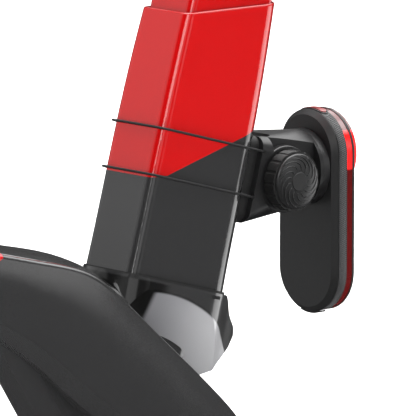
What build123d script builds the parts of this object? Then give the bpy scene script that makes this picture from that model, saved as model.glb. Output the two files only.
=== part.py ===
"""Road bicycle seat cluster with its seat post and a strap-on rear light.

Row frame: +X to the rear of the bicycle, +Y to the rider's right, +Z up. The origin is where the
seat tube's axis meets the ground plane under its joining spigot. Lengths in mm, angles in degrees.
"""

import os
from math import cos, radians, sin

from build123d import *

os.makedirs("parts", exist_ok=True)

# ---------------------------------------------------------------- driving dimensions
LEAN = 15.5  # the seat tube leans back from the vertical
RIM = 104.0  # from the ground to the frame's rim, along the seat tube
SPIGOT = 8.0  # height of the joining spigots under the tubes
SPIGOT_STEP = 2.5  # wall of the tube that slides over a spigot

MAST_FRONT = -29.6  # the mast's faces where the lace goes round it, fore and aft of the axis
MAST_REAR = 34.0
MAST_WIDTH = 36.4
MAST_TOP = 226.5  # height of its level top edge
MAST_SOCKET = 9.0  # length held in the frame
MAST_FRONT_RADIUS = 4.5
MAST_REAR_RADIUS = 12.0
BORE_FRONT = -25.0  # the sliding post's bore, fore and aft of the axis
BORE_REAR = 26.4
BORE_WIDTH = 31.0
SLIDE_GAP = 0.3

HEAD_RISE = 306.0  # saddle clamp's pivot, along the seat tube from the ground
POST_FOOT = 118.0  # the post's lower end at rest
RAIL_SPACING = 44.0  # saddle rails, centre to centre
RAIL_RADIUS = 3.5

LACE = 1.2  # lace diameter
LACE_UPPER = 173.0  # the two turns, along the seat tube from the ground
LACE_LOWER = 151.0
LACE_OFF = 0.9  # how far the lace stands off the mast

DIAL_X = 95.4
DIAL_Z = 142.2
DIAL_WALL = 13.0  # the bracket's wall under the dial, left of the middle
KNOB_RADIUS = 14.3

LIGHT_X = 123.6  # the light's flat face, which looks forward at the mast
LIGHT_WIDTH = 41.0
LIGHT_HEIGHT = 97.7
LIGHT_TOP_CENTRE = 150.4  # centre of its upper round end
SOCKET_Z = 143.7  # the twist mount's axis
FLANGE_RADIUS = 18.3

# ---------------------------------------------------------------- shared frames and tools
lean = radians(LEAN)
axis_up = Vector(sin(lean), 0, cos(lean))
axis_rear = Vector(cos(lean), 0, -sin(lean))


def post_plane(along):
    """Plane square to the seat tube, at that distance up it: x to the rear, y to the right."""
    return Plane(origin=axis_up * along, x_dir=axis_rear, z_dir=axis_up)


def place(rear, right, along):
    """Point at those distances to the rear, to the right and up the seat tube."""
    return axis_rear * rear + Vector(0, right, 0) + axis_up * along


# Plane in which side profiles are drawn: x to the rear, y up, looking from the left side.
SIDE = Plane.XZ
# Plane at the light's face, looking from behind it: local x is to the right, local y is up.
REARWARD = Plane(origin=(0, 0, 0), x_dir=(0, 1, 0), z_dir=(1, 0, 0))


def rear_plane(x):
    """Plane square to the light's thickness at that distance back."""
    return REARWARD.offset(x)


def dial_plane(out):
    """Plane square to the dial's axis, at that distance left of the middle; its normal points left."""
    return Plane(origin=(DIAL_X, -out, DIAL_Z), x_dir=(1, 0, 0), z_dir=(0, -1, 0))


# ---------------------------------------------------------------- frame: top tube and seat stays
# Each station is a cut across the moulding: its upper and lower edge in the side view, half width,
# and the height of the crown over the upper edges. The end ones lie beyond the joining faces.
STATIONS = [
    ((-134, 139.5), (-134, 111.5), 24.0, 4.0),
    ((-111, 134), (-113.5, 103.5), 24.4, 4.0),
    ((-88, 128.5), (-93, 95.5), 25.2, 4.0),
    ((-60, 121.5), (-69, 80.5), 27.2, 4.2),
    ((-42, 116.5), (-54, 68), 29.0, 4.8),
    ((-29, 110), (-43, 58), 30.5, 6.2),
    ((-14, 97), (-34, 50), 32.0, 9.5),
    ((-1, 85), (-24, 42), 33.2, 7.0),
    ((17, 69), (-11, 31.5), 34.8, 2.0),
    ((36, 51), (1, 22), 36.5, 2.0),
    ((60, 23), (16, 8), 38.6, 2.0),
    ((86, -10), (32, -10), 41.0, 2.0),
]
TUBE_FRONT = -122.0  # where the top tube's outer skin ends
YOKE_WALL = 4.5
SLOT_HALF = 21.5  # half width of the opening that the mast passes through
SLOT_FRONT = -12.0
SLOT_REAR = 110.0
SLOT_REAR_HALF = 27.0
TOP_EDGE_RADIUS = 3.0
CREASE_RADIUS = 2.0
CREASE_HEIGHT = 0.14  # of the section's height
CREASE_INSET = 3.5
FOOT_INSET = 10.0


def yoke_body(inset, floor, nose):
    """The moulding drawn in by an inset, and cut off at a floor height and a foremost x."""
    with BuildPart() as body:
        for upper, lower, half_width, crown in STATIONS:
            up = (Vector(upper[0], 0, upper[1]) - Vector(lower[0], 0, lower[1])).normalized()
            bottom = Vector(lower[0], 0, lower[1]) + up * inset
            height = (Vector(upper[0], 0, upper[1]) - bottom).length - inset
            half = half_width - inset
            foot = (half - FOOT_INSET + inset / 2, 0)
            crease = (half - CREASE_INSET, CREASE_HEIGHT * height)
            station = Plane(origin=bottom, x_dir=(0, 1, 0), z_dir=Vector(0, 1, 0).cross(up))
            with BuildSketch(station) as section:
                with BuildLine():
                    edge_top = (half - 1.5, height)
                    shoulder = (edge_top[0] / 2, height + 0.75 * crown)
                    ThreePointArc((0, height + crown), shoulder, edge_top)
                    ThreePointArc(edge_top, (half, 0.6 * height), crease)
                    Line(crease, foot)
                    Line(foot, (0, 0))
                    mirror(about=Plane.YZ)
                make_face()
                tops = section.vertices().filter_by(lambda v: abs(v.Y - height) < 0.01)
                creases = section.vertices().filter_by(lambda v: abs(v.Y - crease[1]) < 0.01)
                fillet(tops, TOP_EDGE_RADIUS)
                fillet(creases, CREASE_RADIUS)
        loft()
        split(bisect_by=Plane.XY.offset(floor), keep=Keep.TOP)
        split(bisect_by=Plane.YZ.offset(nose), keep=Keep.TOP)
        # the opening between the stays
        side = SLOT_HALF + inset
        rear_side = SLOT_REAR_HALF + inset
        with BuildSketch(Plane.XY):
            with BuildLine():
                Line((SLOT_REAR, -rear_side), (0, -side))
                Spline(
                    (0, -side),
                    (SLOT_FRONT - inset, 0),
                    (0, side),
                    tangents=[(-1, 0.02), (0, 1), (1, 0.02)],
                )
                Line((0, side), (SLOT_REAR, rear_side))
                Line((SLOT_REAR, rear_side), (SLOT_REAR, -rear_side))
            make_face()
        extrude(amount=200, both=True, mode=Mode.SUBTRACT)
    return body.part


yoke_solid = yoke_body(0, SPIGOT, TUBE_FRONT)
spigot_solid = yoke_body(SPIGOT_STEP, 0, TUBE_FRONT - SPIGOT)

# ---------------------------------------------------------------- seat mast
# A hollow aero tube bonded into the frame; its front leans in a little towards the top.
# Each section: distance up the seat tube, front, rear and half width.
MAST_SECTIONS = [
    (RIM - MAST_SOCKET, -30.3, 34.8, 18.4),
    (150.0, MAST_FRONT, MAST_REAR, MAST_WIDTH / 2),
    (198.0, -28.9, 33.2, 18.0),
    (222.0, -27.9, 32.3, 17.6),
    (250.0, -26.0, 30.8, 16.9),
]
MAST_LIP = 1.0
BOND_GAP = 0.25  # glue line round the mast
BORE_CORNER = 4.0


def mast_body(grow):
    """The mast's solid outside shape, with its skin moved outwards by that much."""
    with BuildPart() as body:
        for along, front, rear, half_width in MAST_SECTIONS:
            half = half_width + grow
            with BuildSketch(post_plane(along)) as section:
                with BuildLine():
                    Line((front - grow, 0), (front - grow, half - 0.6))
                    Line((front - grow, half - 0.6), (rear + grow, half))
                    Line((rear + grow, half), (rear + grow, 0))
                    mirror(about=Plane.XZ)
                make_face()
                fillet(section.vertices().sort_by(Axis.X)[:2], MAST_FRONT_RADIUS + grow)
                fillet(section.vertices().sort_by(Axis.X)[-2:], MAST_REAR_RADIUS + grow)
        loft()
    return body.part


mast_solid = mast_body(0)

with BuildPart() as seat_mast:
    add(mast_solid)
    split(bisect_by=Plane.XY.offset(MAST_TOP), keep=Keep.BOTTOM)
    top_edges = seat_mast.edges().filter_by_position(Axis.Z, MAST_TOP - 0.01, MAST_TOP + 0.01)
    fillet(top_edges, MAST_LIP)
    with BuildSketch(post_plane(0)):
        with Locations(((BORE_FRONT + BORE_REAR) / 2, 0)):
            RectangleRounded(BORE_REAR - BORE_FRONT, BORE_WIDTH, BORE_CORNER)
    extrude(amount=300, mode=Mode.SUBTRACT)

# the finished moulding: skin, joining spigots, hollow inside, and clearance for the mast's foot
with BuildPart() as frame_yoke:
    add(yoke_solid)
    # the joining spigots stand out of the skin at the two feet and in front of the top tube
    add(spigot_solid.split(Plane.XY.offset(SPIGOT + 1), keep=Keep.BOTTOM))
    add(spigot_solid.split(Plane.YZ.offset(TUBE_FRONT + 1), keep=Keep.BOTTOM))
    add(yoke_body(YOKE_WALL, -1, TUBE_FRONT - SPIGOT - 1), mode=Mode.SUBTRACT)
    add(mast_body(BOND_GAP), mode=Mode.SUBTRACT)

# ---------------------------------------------------------------- frame: nacelle round the mast's foot
# A hull that hangs in the opening: its top rim follows the mast, and its tail sweeps back.
NACELLE_HALF = 20.4
NACELLE_KEEL_HALF = 5.0
RIM_FRONT = -38.0  # runs on into the moulding in front
TAIL = 52.5  # rearmost point, to the rear of the seat tube's axis
boat_tail = [(31.5, 16.6), (42.0, 10.2), (48.0, 7.4), (TAIL + 1, 3.8)]  # rear and half width
HULL_REAR = -8.0  # where the crease between the hull's side and its lower facet is highest
HULL_DROP = 4.5  # the crease there, under the rim
HULL_TURN = 79.0  # radius of the crease in the side view
DRAIN_REAR = 24.0
DRAIN_LENGTH = 9.0
DRAIN_HEIGHT = 1.6
DRAIN_DEPTH = 1.2
SEAL_WIDTH = 1.0
SEAL_DEPTH = 1.6
SEAL_PROUD = 0.6

# room for the seal: a band round the mast, let into the rim
with BuildPart() as seal_zone:
    add(mast_body(SEAL_WIDTH))
    split(bisect_by=post_plane(RIM - SEAL_DEPTH), keep=Keep.TOP)
    split(bisect_by=post_plane(RIM + SEAL_PROUD), keep=Keep.BOTTOM)

hull_centre = axis_rear * HULL_REAR + axis_up * (RIM - HULL_DROP - HULL_TURN)

with BuildPart() as hull:
    # side view, drawn square to the seat tube
    with BuildSketch(Plane(origin=(0, 0, 0), x_dir=axis_rear, z_dir=(0, -1, 0))):
        with BuildLine():
            Line((RIM_FRONT, RIM), (33, RIM - 0.6))
            Spline(
                (33, RIM - 0.6),
                (42, RIM - 8.6),
                (48, RIM - 13.2),
                (TAIL, RIM - 18.5),
                tangents=[(1, -0.2), (0.2, -1)],
            )
            Polyline(
                (TAIL, RIM - 18.5),
                (48.5, RIM - 24.3),
                (43.2, RIM - 29.6),
                (34.6, RIM - 36.4),
                (22, RIM - 44),
                (-20, RIM - 54.0),
                (RIM_FRONT, RIM - 40),
                (RIM_FRONT, RIM),
            )
        make_face()
    extrude(amount=30, both=True)
    # plan view: a rounded bow, parallel sides and a boat tail
    with BuildSketch(post_plane(RIM - 60)):
        with BuildLine():
            Line((18, -NACELLE_HALF), (-20, -NACELLE_HALF))
            ThreePointArc((-20, -NACELLE_HALF), (RIM_FRONT, 0), (-20, NACELLE_HALF))
            Line((-20, NACELLE_HALF), (18, NACELLE_HALF))
            Spline((18, NACELLE_HALF), *boat_tail, tangents=[(1, 0), (0.8, -0.6)])
            Line(boat_tail[-1], (boat_tail[-1][0], -boat_tail[-1][1]))
            mirrored = [(rear, -half) for rear, half in reversed(boat_tail)]
            Spline(*mirrored, (18, -NACELLE_HALF), tangents=[(-0.8, -0.6), (-1, 0)])
        make_face()
    extrude(amount=80, mode=Mode.INTERSECT)
    # across the hull: upright sides, then facets to a narrow keel. The section turns about an
    # axis below, so that the crease between them curves down to the tail.
    with BuildSketch(Plane(origin=hull_centre, x_dir=(0, 1, 0), z_dir=-axis_rear)):
        with BuildLine():
            Polyline(
                (0, 140),
                (NACELLE_HALF, 140),
                (NACELLE_HALF, HULL_TURN),
                (NACELLE_HALF - 8.0, HULL_TURN - 22),
                (NACELLE_KEEL_HALF, HULL_TURN - 40),
                (0, HULL_TURN - 40),
            )
            mirror(about=Plane.YZ)
        make_face()
    revolve(axis=Axis(hull_centre, (0, 1, 0)), mode=Mode.INTERSECT)
    # drain slot under the rim, at the left rear
    with BuildSketch(Plane(origin=(0, -NACELLE_HALF, 0), x_dir=axis_rear, z_dir=(0, -1, 0))):
        with Locations((DRAIN_REAR, RIM - 2.6)):
            SlotOverall(DRAIN_LENGTH, DRAIN_HEIGHT)
    extrude(amount=DRAIN_DEPTH, both=True, mode=Mode.SUBTRACT)

nacelle_solid = hull.part

with BuildPart() as cut_hull:
    add(nacelle_solid)
    add(mast_body(BOND_GAP), mode=Mode.SUBTRACT)
    add(seal_zone.part, mode=Mode.SUBTRACT)
    add(yoke_solid, mode=Mode.SUBTRACT)

with BuildPart() as nacelle:
    # the hull without the slivers that its cutting leaves inside the moulding
    add(cut_hull.solids().sort_by(SortBy.VOLUME)[-1])

with BuildPart() as mast_seal:
    add(seal_zone.part)
    add(mast_solid, mode=Mode.SUBTRACT)

# ---------------------------------------------------------------- frame: seat tube
# The tube is a narrow aerofoil under the mast, with a gusset that runs up to the top tube.
TUBE_HALF = 13.0
TUBE_FRONT_ROUND = 11.0
TUBE_REAR_ROUND = 9.0
GUSSET = [(-28.0, 0.0), (-38.0, 22.0), (-51.0, 44.0), (-66.0, 68.0), (-78.0, 92.0)]
TUBE_REAR_FOOT = (20.0, 0.0)
TUBE_REAR_TOP = (40.0, 62.0)


def tube_body(inset, top):
    """The tube with its gusset, drawn in by an inset and cut off at a height."""
    with BuildPart() as body:
        with BuildSketch(SIDE):
            gusset = [(x + inset, z) for x, z in GUSSET]
            rear_foot = (TUBE_REAR_FOOT[0] - inset, 0)
            rear_top = (TUBE_REAR_TOP[0] - inset, TUBE_REAR_TOP[1])
            with BuildLine():
                Line(rear_foot, gusset[0])
                Spline(*gusset)
                Polyline(gusset[-1], (0, 100), rear_top, rear_foot)
            make_face()
        extrude(amount=TUBE_HALF - inset, both=True)
        front_edges = body.edges().filter_by(GeomType.BSPLINE)
        fillet(front_edges, TUBE_FRONT_ROUND - inset)
        rear_edges = body.edges().filter_by(
            lambda e: e.center().X > 20 and abs(e.tangent_at(0.5).Z) > 0.9
        )
        fillet(rear_edges, TUBE_REAR_ROUND - inset)
        split(bisect_by=Plane.XY.offset(top), keep=Keep.BOTTOM)
    return body.part


with BuildPart() as tube_blank:
    add(tube_body(0, 99))
    split(bisect_by=Plane.XY.offset(SPIGOT), keep=Keep.TOP)
    add(nacelle_solid, mode=Mode.SUBTRACT)
    add(mast_body(BOND_GAP), mode=Mode.SUBTRACT)
    add(yoke_solid, mode=Mode.SUBTRACT)

with BuildPart() as cut_tube:
    add(tube_blank.solids().sort_by(SortBy.VOLUME)[-1])
    add(tube_body(SPIGOT_STEP, SPIGOT))
    add(frame_yoke.part, mode=Mode.SUBTRACT)

with BuildPart() as seat_tube:
    # the tube and its spigot, without the slivers that its cutting leaves beside the nacelle
    add(cut_tube.solids().sort_by(SortBy.VOLUME)[-1])

# ---------------------------------------------------------------- seat post
# A narrower aero tube that slides in the mast. A channel down its rear takes the clamping wedge.
POST_FRONT = BORE_FRONT + SLIDE_GAP
POST_REAR = BORE_REAR - SLIDE_GAP
POST_HALF = BORE_WIDTH / 2 - SLIDE_GAP
POST_CORNER = BORE_CORNER - SLIDE_GAP
POST_WALL = 2.4
POST_TOP = 288.0
CHANNEL_HALF = 6.4
CHANNEL_FLOOR = 18.8
post_middle = (POST_FRONT + POST_REAR) / 2
post_depth = POST_REAR - POST_FRONT

with BuildPart() as seat_post:
    with BuildSketch(post_plane(POST_FOOT)):
        with Locations((post_middle, 0)):
            RectangleRounded(post_depth, 2 * POST_HALF, POST_CORNER)
    extrude(amount=POST_TOP - POST_FOOT)
    cavity_rear = CHANNEL_FLOOR - POST_WALL
    with BuildSketch(post_plane(POST_FOOT)):
        with Locations(((POST_FRONT + POST_WALL + cavity_rear) / 2, 0)):
            RectangleRounded(
                cavity_rear - POST_FRONT - POST_WALL, 2 * (POST_HALF - POST_WALL), POST_CORNER - 1.5
            )
    extrude(amount=POST_TOP - POST_FOOT, mode=Mode.SUBTRACT)
    with BuildSketch(post_plane(POST_FOOT)):
        with Locations((CHANNEL_FLOOR + 10, 0)):
            Rectangle(20, 2 * CHANNEL_HALF)
    extrude(amount=POST_TOP - POST_FOOT - 22, mode=Mode.SUBTRACT)

# The clamping wedge hangs on the mast's top edge: two blocks that meet on a slope, and a bolt that
# draws them together so that they spread between the mast's rear wall and the post's channel.
WEDGE_HALF = 6.0
WEDGE_FRONT = CHANNEL_FLOOR + SLIDE_GAP
WEDGE_REAR = BORE_REAR - 0.1
WEDGE_LOW = 204.0
WEDGE_SPLIT = 218.0
WEDGE_HIGH = 246.0
WEDGE_LIP = 1.6
WEDGE_SLOPE = 5.0  # half the rise of the sloping face
wedge_middle = (WEDGE_FRONT + WEDGE_REAR) / 2
WEDGE_BOLT_RADIUS = 2.0
WEDGE_HEAD_RADIUS = 2.9
WEDGE_HEAD_SEAT = 3.5  # depth of the bolt head's seat under the top
wedge_side = Plane(origin=(0, 0, 0), x_dir=axis_rear, z_dir=(0, -1, 0))

with BuildPart() as wedge_lower:
    with BuildSketch(wedge_side):
        with BuildLine():
            Polyline(
                (WEDGE_FRONT, WEDGE_LOW),
                (WEDGE_REAR, WEDGE_LOW),
                (WEDGE_REAR, WEDGE_SPLIT - WEDGE_SLOPE),
                (WEDGE_FRONT, WEDGE_SPLIT + WEDGE_SLOPE),
                (WEDGE_FRONT, WEDGE_LOW),
            )
        make_face()
    extrude(amount=WEDGE_HALF, both=True)
    with BuildSketch(post_plane(WEDGE_LOW)):
        with Locations((wedge_middle, 0)):
            Circle(WEDGE_BOLT_RADIUS)
    extrude(amount=60, mode=Mode.SUBTRACT)

with BuildPart() as wedge_upper:
    with BuildSketch(wedge_side):
        with BuildLine():
            Polyline(
                (WEDGE_FRONT, WEDGE_SPLIT + WEDGE_SLOPE),
                (WEDGE_REAR, WEDGE_SPLIT - WEDGE_SLOPE),
                (WEDGE_REAR, WEDGE_HIGH),
                (WEDGE_FRONT, WEDGE_HIGH),
                (WEDGE_FRONT, WEDGE_SPLIT + WEDGE_SLOPE),
            )
        make_face()
    extrude(amount=WEDGE_HALF, both=True)
    split(bisect_by=Plane.XY.offset(MAST_TOP + WEDGE_LIP), keep=Keep.BOTTOM)
    lip_front = place(WEDGE_REAR, 0, WEDGE_HIGH).X - 4
    with BuildSketch(Plane.XY.offset(MAST_TOP)):
        with Locations((lip_front + 2.5, 0)):
            Rectangle(5, 2 * WEDGE_HALF)
    extrude(amount=WEDGE_LIP)
    with BuildSketch(post_plane(WEDGE_LOW)):
        with Locations((wedge_middle, 0)):
            Circle(WEDGE_BOLT_RADIUS + 0.15)
    extrude(amount=60, mode=Mode.SUBTRACT)
    with BuildSketch(post_plane(241.4 - WEDGE_HEAD_SEAT)):
        with Locations((wedge_middle, 0)):
            Circle(WEDGE_HEAD_RADIUS + 0.2)
    extrude(amount=20, mode=Mode.SUBTRACT)

with BuildPart() as wedge_bolt:
    with BuildSketch(post_plane(WEDGE_LOW + 1)):
        with Locations((wedge_middle, 0)):
            Circle(WEDGE_BOLT_RADIUS)
    extrude(amount=241.4 - WEDGE_HEAD_SEAT - WEDGE_LOW - 1)
    with BuildSketch(post_plane(241.4 - WEDGE_HEAD_SEAT)):
        with Locations((wedge_middle, 0)):
            Circle(WEDGE_HEAD_RADIUS)
    extrude(amount=3.0)
    with BuildSketch(post_plane(241.4 - WEDGE_HEAD_SEAT + 3.0)):
        with Locations((wedge_middle, 0)):
            RegularPolygon(1.5, 6, major_radius=False)
    extrude(amount=-2.0, mode=Mode.SUBTRACT)

# ---------------------------------------------------------------- saddle clamp on the post's head
# A barrel turns in the head's cross bore to set the saddle's tilt. One bolt through it squeezes the
# two rails between inner cradles and outer clamps.
HEAD_RADIUS = 13.0
HEAD_HALF = 15.0
BARREL_RADIUS = 9.0
BARREL_GAP = 0.05
BARREL_HALF = 16.6
CRADLE_IN = 16.6
CLAMP_SPLIT = 0.2  # half the gap between a cradle and its clamp
CLAMP_OUT = RAIL_SPACING / 2 + 5.2
RAIL_RISE = 11.0  # rails over the barrel's axis
CRADLE_LENGTH = 30.0
CRADLE_LOW = -8.0
CRADLE_HIGH = 16.5
SADDLE_BOLT_RADIUS = 3.0
BOLT_CLEARANCE = 0.2
pivot = place(0, 0, HEAD_RISE)


def side_at(right, point):
    """Plane square to the bicycle's width at that distance right, through a point's x and z."""
    return Plane(origin=(point.X, right, point.Z), x_dir=(1, 0, 0), z_dir=(0, -1, 0))


with BuildPart() as post_head:
    with BuildSketch(post_plane(POST_TOP)):
        with Locations((post_middle, 0)):
            RectangleRounded(post_depth, 2 * POST_HALF, POST_CORNER)
    with BuildSketch(post_plane(POST_TOP + 12)):
        RectangleRounded(26, 2 * HEAD_HALF, POST_CORNER)
    loft()
    with BuildSketch(side_at(0, pivot)):
        Circle(HEAD_RADIUS)
    extrude(amount=HEAD_HALF, both=True)
    # plug bonded into the post
    with BuildSketch(post_plane(POST_TOP)):
        with Locations(((POST_FRONT + POST_WALL + cavity_rear) / 2, 0)):
            RectangleRounded(
                cavity_rear - POST_FRONT - POST_WALL - 0.2, 2 * (POST_HALF - POST_WALL) - 0.2, 2.0
            )
    extrude(amount=-16)
    with BuildSketch(side_at(0, pivot)):
        Circle(BARREL_RADIUS + BARREL_GAP)
    extrude(amount=40, both=True, mode=Mode.SUBTRACT)

with BuildPart() as tilt_barrel:
    with BuildSketch(side_at(0, pivot)):
        Circle(BARREL_RADIUS)
    extrude(amount=BARREL_HALF, both=True)
    with BuildSketch(side_at(0, pivot)):
        Circle(SADDLE_BOLT_RADIUS + BOLT_CLEARANCE)
    extrude(amount=40, both=True, mode=Mode.SUBTRACT)


def rail_jaw(inner, outer):
    """One jaw of a rail clamp, between two distances right of the middle, with its rail groove."""
    with BuildPart() as jaw:
        with BuildSketch(side_at(inner, pivot)) as outline:
            with Locations((0, (CRADLE_LOW + CRADLE_HIGH) / 2)):
                Rectangle(CRADLE_LENGTH, CRADLE_HIGH - CRADLE_LOW)
            fillet(outline.vertices().group_by(Axis.Y)[0], 9)
            fillet(outline.vertices().group_by(Axis.Y)[-1], 3)
        extrude(amount=-(outer - inner))
        chamfer(jaw.faces().sort_by(Axis.Y)[-1].edges(), 0.6)
        groove = Plane(origin=(0, RAIL_SPACING / 2, pivot.Z + RAIL_RISE), x_dir=(0, 1, 0), z_dir=(1, 0, 0))
        with BuildSketch(groove):
            Circle(RAIL_RADIUS)
        extrude(amount=300, both=True, mode=Mode.SUBTRACT)
        with BuildSketch(side_at(0, pivot)):
            Circle(SADDLE_BOLT_RADIUS + BOLT_CLEARANCE)
        extrude(amount=60, both=True, mode=Mode.SUBTRACT)
    return jaw.part


with BuildPart() as rail_cradles:
    add(rail_jaw(CRADLE_IN, RAIL_SPACING / 2 - CLAMP_SPLIT))
    mirror(about=Plane.XZ)

with BuildPart() as rail_clamps:
    add(rail_jaw(RAIL_SPACING / 2 + CLAMP_SPLIT, CLAMP_OUT))
    mirror(about=Plane.XZ)

HEAD_LENGTH = 5.0
with BuildPart() as clamp_bolt:
    with BuildSketch(side_at(-CLAMP_OUT, pivot)):
        Circle(5.0)
    extrude(amount=HEAD_LENGTH)
    chamfer(clamp_bolt.faces().sort_by(Axis.Y)[0].edges(), 0.5)
    with BuildSketch(side_at(-CLAMP_OUT - HEAD_LENGTH, pivot)):
        RegularPolygon(2.5, 6, major_radius=False)
    extrude(amount=-3.0, mode=Mode.SUBTRACT)
    with BuildSketch(side_at(-CLAMP_OUT, pivot)):
        Circle(SADDLE_BOLT_RADIUS)
    extrude(amount=-(2 * CLAMP_OUT + 7))

with BuildPart() as clamp_nut:
    with BuildSketch(side_at(CLAMP_OUT, pivot)):
        RegularPolygon(5.0, 6, major_radius=False)
        Circle(SADDLE_BOLT_RADIUS, mode=Mode.SUBTRACT)
    extrude(amount=-5.0)

# ---------------------------------------------------------------- light mount on the mast's rear
PAD_REAR = 35.4
PAD_HALF = 14.5
PAD_LOW = 138.0
PAD_HIGH = 179.5
pad_middle = (PAD_LOW + PAD_HIGH) / 2


def behind_plane(rear):
    """Plane square to the mast's rear face at that distance back: x to the right, y up the mast."""
    return Plane(origin=place(rear, 0, pad_middle), x_dir=(0, 1, 0), z_dir=axis_rear)


with BuildPart() as mount_pad:
    with BuildSketch(behind_plane(24)):
        RectangleRounded(2 * PAD_HALF, PAD_HIGH - PAD_LOW, 5)
    extrude(amount=PAD_REAR - 24)
    add(mast_body(0), mode=Mode.SUBTRACT)

# ---------------------------------------------------------------- lace
# One lace goes twice round the mast: out of the dial, round the front, round the guide on the right
# side of the bracket, and back to the dial.
GUIDE_RADIUS = (LACE_UPPER - LACE_LOWER) / 2
GUIDE_REAR = 42.0  # where the lace starts to turn, to the rear of the seat tube's axis
LACE_SIDE = MAST_WIDTH / 2 + LACE_OFF + LACE / 2
LACE_FRONT = MAST_FRONT - LACE_OFF - LACE / 2
LACE_CORNER = 6.0
CHANNEL_RADIUS = 0.9
BASE_OUT = 17.0
LACE_DEPTH = 15.2  # the lace at the dial, left of the middle
SPOOL_GROOVE = 7.2
spool_lace = SPOOL_GROOVE + 0.4 + LACE / 2
dial_rear = DIAL_X * cos(lean) - DIAL_Z * sin(lean)
dial_along = DIAL_X * sin(lean) + DIAL_Z * cos(lean)
LACE_ROUTE = [
    place(dial_rear, -LACE_DEPTH, dial_along + spool_lace),
    place(dial_rear - 9.4, -LACE_DEPTH, LACE_UPPER),
    place(24, -LACE_SIDE, LACE_UPPER),
    place(LACE_FRONT + 0.3, -LACE_SIDE, LACE_UPPER),
    place(LACE_FRONT + 0.3, LACE_SIDE, LACE_UPPER),
    place(GUIDE_REAR + GUIDE_RADIUS, LACE_SIDE, LACE_UPPER),
    place(GUIDE_REAR + GUIDE_RADIUS, LACE_SIDE, LACE_LOWER),
    place(LACE_FRONT, LACE_SIDE, LACE_LOWER),
    place(LACE_FRONT, -LACE_SIDE, LACE_LOWER),
    place(24, -LACE_SIDE, LACE_LOWER),
    place(dial_rear - 10.9, -LACE_DEPTH, LACE_LOWER),
    place(dial_rear, -LACE_DEPTH, dial_along - spool_lace),
]
LACE_BENDS = [6, 40, LACE_CORNER, LACE_CORNER, 10.9, 10.9, LACE_CORNER, LACE_CORNER, 40, 6]


def along_lace(radius):
    """A round bar of that radius along the lace's route."""
    with BuildPart() as bar:
        with BuildLine() as route:
            FilletPolyline(*LACE_ROUTE, radius=LACE_BENDS)
        with BuildSketch(route.line ^ 0):
            Circle(radius)
        sweep(path=route.line)
    return bar.part


with BuildPart() as lace:
    add(along_lace(LACE / 2))

lace_channel = along_lace(CHANNEL_RADIUS)

# The guide is a grooved shoe on the bracket's right side.
GUIDE_IN = 16.0
GUIDE_OUT = 21.4
GUIDE_EDGE = 2.6
with BuildPart() as lace_guide:
    with BuildSketch(Plane(origin=(0, GUIDE_IN, 0), x_dir=axis_rear, z_dir=(0, -1, 0))):
        with Locations((GUIDE_REAR + 2, (LACE_UPPER + LACE_LOWER) / 2)):
            RectangleRounded(22, 2 * (GUIDE_RADIUS + GUIDE_EDGE), 6)
        with Locations((GUIDE_REAR, (LACE_UPPER + LACE_LOWER) / 2)):
            Circle(GUIDE_RADIUS + GUIDE_EDGE)
    extrude(amount=-(GUIDE_OUT - GUIDE_IN))
    chamfer(lace_guide.faces().sort_by(Axis.Y)[-1].edges(), 0.8)
    add(lace_channel, mode=Mode.SUBTRACT)

# ---------------------------------------------------------------- bracket that carries the light
# A short neck: its cradle lies on the pad, and its round flange takes the light's twist socket.
CRADLE_WIDTH = 35.4
FLANGE_FRONT = 119.0
FLANGE_BACK = 122.9
DIAL_POCKET = 16.2
NECK_STEP = 87.5  # where the cradle's left side steps in to the neck
NECK_END = 117.0
NECK_HOLE = 40.5  # the cross hole behind the cradle, to the rear of the seat tube's axis
NECK_HOLE_WIDTH = 25.0
NECK_HOLE_DEPTH = 9.0
SOCKET_RADIUS = 15.0
SOCKET_FRONT = 117.2
SOCKET_PLATE = 1.2
TAB_FRONT = 119.6
TAB_BACK = 120.8
TAB_RADIUS = 14.0
TAB_WIDTH = 9.0
BOSS_RADIUS = 12.0
TWIST_GAP = 0.3
SCREW_SPREAD = 16.0
SCREW_RADIUS = 1.25
SCREW_HEAD = 2.4
SCREW_LENGTH = 8.0


def socket_plane(x):
    """Plane square to the twist mount's axis at that distance back, centred on the axis."""
    return Plane(origin=(x, 0, SOCKET_Z), x_dir=(0, 1, 0), z_dir=(1, 0, 0))


with BuildPart() as socket_screws:
    with BuildSketch(socket_plane(SOCKET_FRONT + SOCKET_PLATE)):
        with GridLocations(1, SCREW_SPREAD, 1, 2):
            Circle(SCREW_HEAD)
    extrude(amount=-SOCKET_PLATE, taper=40)
    with BuildSketch(socket_plane(SOCKET_FRONT + 0.1)):
        with GridLocations(1, SCREW_SPREAD, 1, 2):
            Circle(SCREW_RADIUS)
    extrude(amount=-SCREW_LENGTH)

with BuildPart() as twist_socket:
    with BuildSketch(socket_plane(SOCKET_FRONT)):
        Circle(SOCKET_RADIUS)
    extrude(amount=FLANGE_BACK - SOCKET_FRONT)
    with BuildSketch(socket_plane(SOCKET_FRONT + SOCKET_PLATE)):
        Circle(BOSS_RADIUS + TWIST_GAP)
    extrude(amount=10, mode=Mode.SUBTRACT)
    # the groove that the tabs turn in, and the two gates they enter by
    with BuildSketch(socket_plane(TAB_FRONT - TWIST_GAP)):
        Circle(TAB_RADIUS + TWIST_GAP)
    extrude(amount=TAB_BACK - TAB_FRONT + 2 * TWIST_GAP, mode=Mode.SUBTRACT)
    with BuildSketch(socket_plane(TAB_BACK)):
        with Locations(Rotation(0, 0, 45)):
            Rectangle(2 * TAB_RADIUS + TWIST_GAP, TAB_WIDTH + 1)
    extrude(amount=10, mode=Mode.SUBTRACT)
    add(socket_screws.part, mode=Mode.SUBTRACT)

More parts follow.
